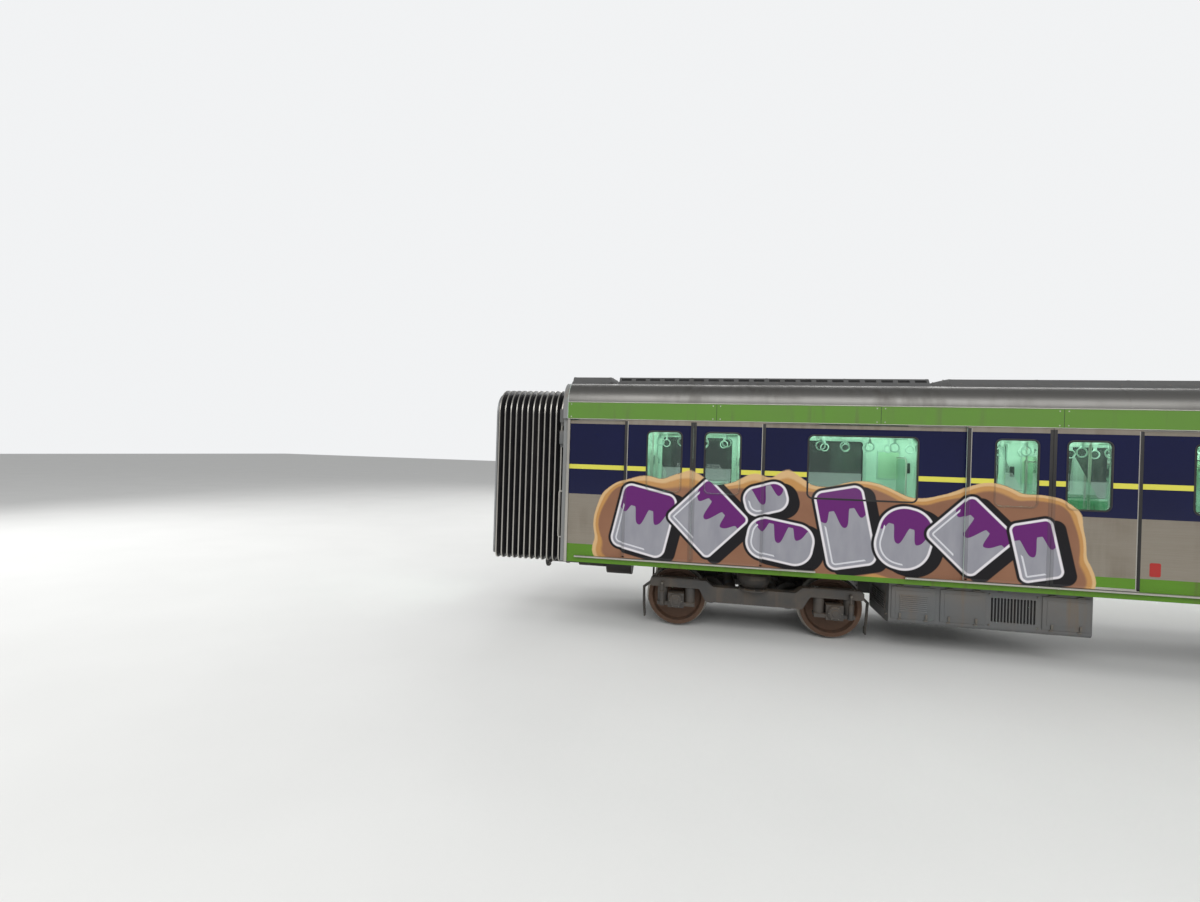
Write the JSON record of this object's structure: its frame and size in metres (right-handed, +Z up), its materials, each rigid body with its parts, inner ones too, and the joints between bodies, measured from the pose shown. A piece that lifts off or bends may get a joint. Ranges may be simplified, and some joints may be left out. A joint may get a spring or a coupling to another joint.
{
  "type": "metro car",
  "caption": "Intermediate metro car with sliding double doors, gangway bellows at its end, couplers, and motor bogies on flanged wheels.",
  "frame": {"origin": "under the middle of the car body, midway between the rails, at the level of the wheels' flange tips", "axes": "+X along the car away from the bellows end, -Y the near side, +Z up"},
  "size_m": [18.895, 2.824, 3.7669],
  "materials": {
    "side_skin": "brushed stainless below, dark navy film band, painted green sill band",
    "door_skin": "as the side walls, with black rubber edges",
    "roof_skin": "polished stainless, grimy",
    "roof_cover_metal": "ribbed stainless covers",
    "green_paint": "satin lime green",
    "bright_steel": "bright brushed stainless",
    "end_skin": "grey, satin",
    "portal_metal": "satin",
    "window_glass": "lightly tinted",
    "bellows_fabric": "black coated fabric, semi-gloss",
    "underframe_paint": "dark grey, matt",
    "floor_covering": "speckled grey rubber floor",
    "ceiling_panel": "white laminate",
    "light_diffuser": "lit, cool white",
    "seat_shell": "moulded, green",
    "coupler_iron": "black, greasy",
    "equipment_paint": "grey, dusty",
    "wheel_steel": "rust-brown with bright treads",
    "axle_steel": "oiled steel",
    "bogie_paint": "dark grey, dusty",
    "air_spring_rubber": "matt",
    "motor_paint": "dark grey"
  },
  "bodies": {
    "car_body": {"side_wall_near": "side_skin", "side_wall_far": "side_skin", "roof": "roof_skin", "roof_covers": "roof_cover_metal", "air_units": "roof_cover_metal", "cantrail_covers": "green_paint", "corner_pillars": "bright_steel", "door_sills": "bright_steel", "door_tracks": "bright_steel", "grab_rails": "bright_steel", "bridge_plate": "bright_steel", "bellows_ribs": "bright_steel", "end_walls": "end_skin", "portal_frames": "portal_metal", "window_glass": "window_glass", "bellows": "bellows_fabric", "underframe": "underframe_paint", "pivot_pins": "underframe_paint", "floor": "floor_covering", "ceiling": "ceiling_panel", "ceiling_lights": "light_diffuser", "seats": "seat_shell", "couplers": "coupler_iron", "traction_inverter": "equipment_paint", "auxiliary_converter": "equipment_paint", "battery_box": "equipment_paint", "compressor": "equipment_paint", "air_reservoirs": "equipment_paint"},
    "bogie_left": {"bogie_frame_left": "bogie_paint", "axle_boxes_left": "bogie_paint", "air_springs_left": "air_spring_rubber", "traction_motors_left": "motor_paint"},
    "bogie_right": {"bogie_frame_right": "bogie_paint", "axle_boxes_right": "bogie_paint", "air_springs_right": "air_spring_rubber", "traction_motors_right": "motor_paint"},
    "wheelset_1": {"wheels_1": "wheel_steel", "axle_1": "axle_steel"},
    "wheelset_2": {"wheels_2": "wheel_steel", "axle_2": "axle_steel"},
    "wheelset_3": {"wheels_3": "wheel_steel", "axle_3": "axle_steel"},
    "wheelset_4": {"wheels_4": "wheel_steel", "axle_4": "axle_steel"},
    "door_near_1_left": {"door_near_1_left": "door_skin"},
    "door_near_1_right": {"door_near_1_right": "door_skin"},
    "door_near_2_left": {"door_near_2_left": "door_skin"},
    "door_near_2_right": {"door_near_2_right": "door_skin"},
    "door_near_3_left": {"door_near_3_left": "door_skin"},
    "door_near_3_right": {"door_near_3_right": "door_skin"},
    "door_near_4_left": {"door_near_4_left": "door_skin"},
    "door_near_4_right": {"door_near_4_right": "door_skin"},
    "door_far_1_left": {"door_far_1_left": "door_skin"},
    "door_far_1_right": {"door_far_1_right": "door_skin"},
    "door_far_2_left": {"door_far_2_left": "door_skin"},
    "door_far_2_right": {"door_far_2_right": "door_skin"},
    "door_far_3_left": {"door_far_3_left": "door_skin"},
    "door_far_3_right": {"door_far_3_right": "door_skin"},
    "door_far_4_left": {"door_far_4_left": "door_skin"},
    "door_far_4_right": {"door_far_4_right": "door_skin"}
  },
  "joints": [
    {"name": "bogie_left_yaw", "type": "hinge", "parent": "car_body", "child": "bogie_left", "pos_m": [-5.8, 0, 0.978], "axis": [0, 0, 1], "range_deg": [-4, 4]},
    {"name": "bogie_right_yaw", "type": "hinge", "parent": "car_body", "child": "bogie_right", "pos_m": [5.8, 0, 0.978], "axis": [0, 0, 1], "range_deg": [-4, 4]},
    {"name": "wheelset_1_roll", "type": "hinge", "parent": "bogie_left", "child": "wheelset_1", "pos_m": [-6.9, 0, 0.458], "axis": [0, 1, 0], "continuous": true},
    {"name": "wheelset_2_roll", "type": "hinge", "parent": "bogie_left", "child": "wheelset_2", "pos_m": [-4.7, 0, 0.458], "axis": [0, 1, 0], "continuous": true},
    {"name": "wheelset_3_roll", "type": "hinge", "parent": "bogie_right", "child": "wheelset_3", "pos_m": [4.7, 0, 0.458], "axis": [0, 1, 0], "continuous": true},
    {"name": "wheelset_4_roll", "type": "hinge", "parent": "bogie_right", "child": "wheelset_4", "pos_m": [6.9, 0, 0.458], "axis": [0, 1, 0], "continuous": true},
    {"name": "door_near_1_left_slide", "type": "slide", "parent": "car_body", "child": "door_near_1_left", "axis": [-1, 0, 0], "range_m": [0, 0.7]},
    {"name": "door_near_1_right_slide", "type": "slide", "parent": "car_body", "child": "door_near_1_right", "axis": [1, 0, 0], "range_m": [0, 0.7]},
    {"name": "door_near_2_left_slide", "type": "slide", "parent": "car_body", "child": "door_near_2_left", "axis": [-1, 0, 0], "range_m": [0, 0.7]},
    {"name": "door_near_2_right_slide", "type": "slide", "parent": "car_body", "child": "door_near_2_right", "axis": [1, 0, 0], "range_m": [0, 0.7]},
    {"name": "door_near_3_left_slide", "type": "slide", "parent": "car_body", "child": "door_near_3_left", "axis": [-1, 0, 0], "range_m": [0, 0.7]},
    {"name": "door_near_3_right_slide", "type": "slide", "parent": "car_body", "child": "door_near_3_right", "axis": [1, 0, 0], "range_m": [0, 0.7]},
    {"name": "door_near_4_left_slide", "type": "slide", "parent": "car_body", "child": "door_near_4_left", "axis": [-1, 0, 0], "range_m": [0, 0.7]},
    {"name": "door_near_4_right_slide", "type": "slide", "parent": "car_body", "child": "door_near_4_right", "axis": [1, 0, 0], "range_m": [0, 0.7]},
    {"name": "door_far_1_left_slide", "type": "slide", "parent": "car_body", "child": "door_far_1_left", "axis": [-1, 0, 0], "range_m": [0, 0.7]},
    {"name": "door_far_1_right_slide", "type": "slide", "parent": "car_body", "child": "door_far_1_right", "axis": [1, 0, 0], "range_m": [0, 0.7]},
    {"name": "door_far_2_left_slide", "type": "slide", "parent": "car_body", "child": "door_far_2_left", "axis": [-1, 0, 0], "range_m": [0, 0.7]},
    {"name": "door_far_2_right_slide", "type": "slide", "parent": "car_body", "child": "door_far_2_right", "axis": [1, 0, 0], "range_m": [0, 0.7]},
    {"name": "door_far_3_left_slide", "type": "slide", "parent": "car_body", "child": "door_far_3_left", "axis": [-1, 0, 0], "range_m": [0, 0.7]},
    {"name": "door_far_3_right_slide", "type": "slide", "parent": "car_body", "child": "door_far_3_right", "axis": [1, 0, 0], "range_m": [0, 0.7]},
    {"name": "door_far_4_left_slide", "type": "slide", "parent": "car_body", "child": "door_far_4_left", "axis": [-1, 0, 0], "range_m": [0, 0.7]},
    {"name": "door_far_4_right_slide", "type": "slide", "parent": "car_body", "child": "door_far_4_right", "axis": [1, 0, 0], "range_m": [0, 0.7]}
  ],
  "couplings": [
    {"joint": "door_near_1_right_slide", "follows": "door_near_1_left_slide", "ratio": 1},
    {"joint": "door_near_2_right_slide", "follows": "door_near_2_left_slide", "ratio": 1},
    {"joint": "door_near_3_right_slide", "follows": "door_near_3_left_slide", "ratio": 1},
    {"joint": "door_near_4_right_slide", "follows": "door_near_4_left_slide", "ratio": 1},
    {"joint": "door_far_1_right_slide", "follows": "door_far_1_left_slide", "ratio": 1},
    {"joint": "door_far_2_right_slide", "follows": "door_far_2_left_slide", "ratio": 1},
    {"joint": "door_far_3_right_slide", "follows": "door_far_3_left_slide", "ratio": 1},
    {"joint": "door_far_4_right_slide", "follows": "door_far_4_left_slide", "ratio": 1}
  ]
}
